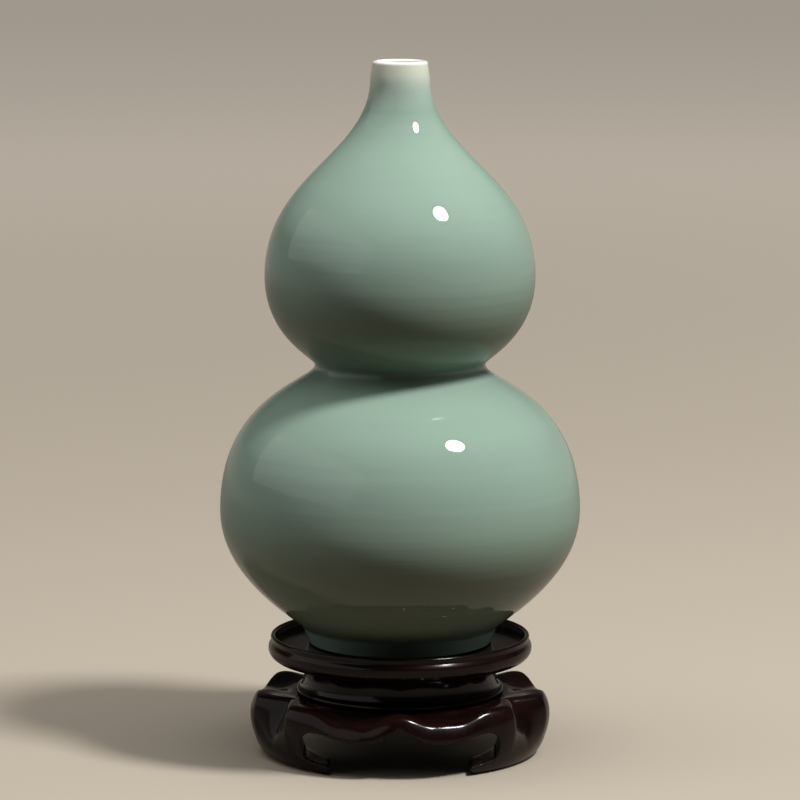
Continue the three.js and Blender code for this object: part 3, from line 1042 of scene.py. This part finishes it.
class VASE_OT_set_stage(Operator):
    """Lay the floor and set the lights and the camera"""

    bl_idname = "gourd_vase.set_stage"
    bl_label = "Set Stage"

    def execute(self, context):
        stage = context.scene.vase_stage
        self.lay_floor(stage)
        self.raise_wall(stage)
        self.set_lights(stage)
        self.set_camera(context.scene, stage)
        context.scene.view_settings.view_transform = "Standard"
        return {"FINISHED"}

    def lay_floor(self, stage):
        """A pale floor that stays pale far from the lights."""
        reach = 9.0
        corners = [(x * reach, y * reach, 0) for x, y in ((-1, -1), (1, -1), (1, 1), (-1, 1))]
        mesh = bpy.data.meshes.new("floor")
        mesh.from_pydata(corners, [], [(0, 1, 2, 3)])
        floor = new_object("floor", mesh)
        material, shader, spot = new_material("pale_floor")
        seen = self.seen_rays(spot.tree, stage.floor_mirror)
        away = wire(spot.tree, "ShaderNodeVectorMath", {0: spot}, "Value", operation="LENGTH")
        bounce = mixed(ranged(away, low=0.12, high=0.45), stage.floor_bounce, (0, 0, 0))
        paint = mixed(seen, bounce, stage.floor_colour)
        plug(shader, {"Base Color": paint, "Roughness": 0.6, "Specular IOR Level": 0.2})
        self.far_glow(shader, stage, ranged(away, low=0.5, high=3.0))
        mesh.materials.append(material)
        floor.location.z = -0.2 * MM

    def raise_wall(self, stage):
        """A round wall far off, as pale as the floor at its foot and fading upwards."""
        steps, radius, height = 72, 8.8, 2.4
        turns = [FULL_TURN * i / steps for i in range(steps)]
        corners = [(radius * math.cos(t), radius * math.sin(t), z) for z in (0, height) for t in turns]
        faces = [(i, steps + i, steps + (i + 1) % steps, (i + 1) % steps) for i in range(steps)]
        mesh = bpy.data.meshes.new("wall")
        mesh.from_pydata(corners, [], faces)
        material, shader, spot = new_material("pale_wall")
        plug(shader, {"Base Color": (*stage.floor_bounce, 1)})
        self.far_glow(shader, stage, 1 - ranged(split(spot)[2], 0.0, height))
        mesh.materials.append(material)
        new_object("wall", mesh)

    def seen_rays(self, tree, mirror):
        """One for the camera's rays, a share for mirrored ones, nought for light that bounces."""
        path = tree.nodes.new("ShaderNodeLightPath")
        labels = ("Camera", "Glossy", "Transmission")
        camera, glossy, through = (Wire(tree, path.outputs[f"Is {label} Ray"]) for label in labels)
        return camera.reckon("MAXIMUM", glossy * mirror).reckon("MAXIMUM", through)

    def far_glow(self, shader, stage, share):
        """A glow that keeps the far floor and the wall pale to the eye without lighting the object."""
        glow = share * stage.floor_far * self.seen_rays(share.tree, 1.0)
        plug(shader, {"Emission Color": (1.0, 0.9, 0.77, 1), "Emission Strength": glow})

    def set_lights(self, stage):
        area_light("key", place=(1.445, -0.875, 2.645), size=(0.54, 0.54), power=stage.key_power, shape="DISK")
        unseen = (
            area_light("overhead", place=(-0.2, -0.3, 2.6), size=(2.6, 2.6), power=stage.fill_power, shape="DISK"),
            area_light("left_panel", place=(-2.2, 0.2, 1.2), size=(2.0, 1.6), power=stage.left_power),
            area_light("right_panel", place=(2.2, 0.2, 1.2), size=(2.0, 1.6), power=stage.right_power),
        )
        for light in unseen:
            light.visible_glossy = False
        warm = (1, 0.96, 0.92)
        card = area_light("left_card", place=(-2.3, -0.7, 1.35), size=(4.6, 1.7), power=stage.card_power, tint=warm)
        card.visible_diffuse = False
        world = bpy.data.worlds.new("room")
        bpy.context.scene.world = world
        world.use_nodes = True
        room = {"Strength": stage.world_level, "Color": (1.0, 0.995, 0.985, 1)}
        plug(world.node_tree.nodes["Background"], room)

    def set_camera(self, scene, stage):
        data = bpy.data.cameras.new("camera")
        data.sensor_width = 36.0
        data.sensor_fit = "HORIZONTAL"
        data.lens = data.sensor_width / 2 / math.tan(stage.view_width / 2)
        camera = new_object("camera", data)
        aim = Vector((0, 0, stage.aim_height))
        back = Vector((0, -math.cos(stage.view_tilt), math.sin(stage.view_tilt)))
        camera.location = aim + back * stage.view_distance
        camera.rotation_euler = (-back).to_track_quat("-Z", "Y").to_euler()
        scene.camera = camera


class VASE_PT_panel(Panel):
    """Lists the pieces of the vase and its stand"""

    bl_idname = "VASE_PT_panel"
    bl_label = "Gourd Vase"
    bl_space_type = "VIEW_3D"
    bl_region_type = "UI"
    bl_category = "Gourd Vase"

    def draw(self, context):
        for operator in operators:
            self.layout.operator(operator.bl_idname)


groups = {
    "vase_sizes": VaseSizes,
    "stand_sizes": StandSizes,
    "vase_finishes": Finishes,
    "vase_stage": StageSettings,
}
operators = (
    VASE_OT_turn_vase,
    VASE_OT_turn_tray,
    VASE_OT_turn_waist,
    VASE_OT_carve_base,
    VASE_OT_set_stage,
)


def register():
    for name, group in groups.items():
        bpy.utils.register_class(group)
        setattr(bpy.types.Scene, name, PointerProperty(type=group))
    for operator in operators:
        bpy.utils.register_class(operator)
    bpy.utils.register_class(VASE_PT_panel)


def unregister():
    bpy.utils.unregister_class(VASE_PT_panel)
    for operator in reversed(operators):
        bpy.utils.unregister_class(operator)
    for name, group in groups.items():
        delattr(bpy.types.Scene, name)
        bpy.utils.unregister_class(group)


def main():
    register()
    bpy.ops.gourd_vase.turn_vase()
    bpy.ops.gourd_vase.turn_tray()
    bpy.ops.gourd_vase.turn_waist()
    bpy.ops.gourd_vase.carve_base()
    bpy.ops.gourd_vase.set_stage()


if __name__ == "__main__":
    main()
